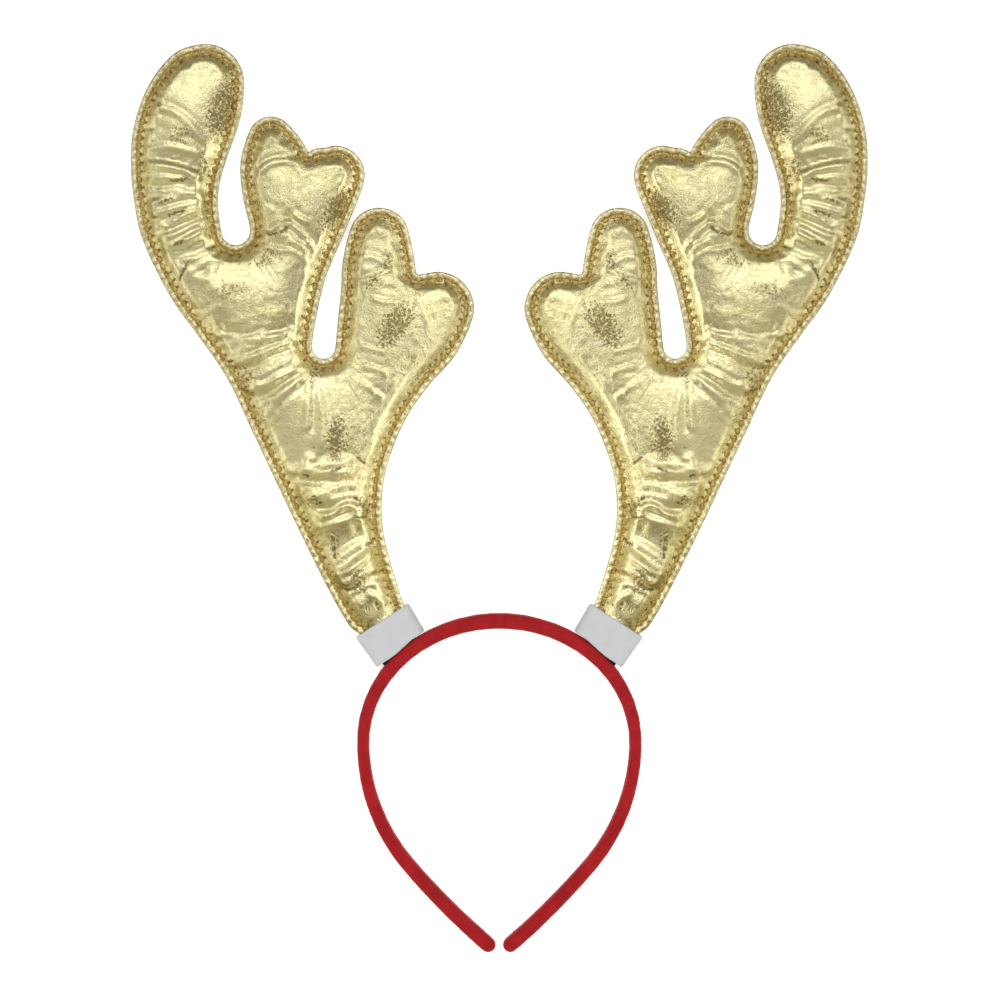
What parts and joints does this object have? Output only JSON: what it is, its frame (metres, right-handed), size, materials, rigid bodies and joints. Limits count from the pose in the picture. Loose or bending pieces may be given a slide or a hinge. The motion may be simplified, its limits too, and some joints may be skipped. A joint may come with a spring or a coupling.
{
  "type": "reindeer antler headband",
  "caption": "Costume headband with a covered U-shaped band that grips the head and two padded, seamed reindeer antlers standing in small cuffs.",
  "frame": {"origin": "middle of the bounding box's bottom, on the plane the headband lies on", "axes": "+Y from the band's tips over its crown to the antlers, +X across to the side that shows on the right from above, +Z the front, up from the plane it lies on"},
  "size_m": [0.3094, 0.3814, 0.0175],
  "materials": {
    "band_cover": "short-pile red cover over a springy plastic strip",
    "antler_foil": "pale gold metallic foil cloth, crinkled, with amber seam stitching",
    "cuff": "smooth pale grey-white wrap, matt",
    "pad": "matt black, toothed edge"
  },
  "bodies": {
    "root": {"headband": "band_cover", "left_antler": "antler_foil", "right_antler": "antler_foil", "left_cuff": "cuff", "right_cuff": "cuff", "left_pad": "pad", "right_pad": "pad"}
  },
  "joints": []
}
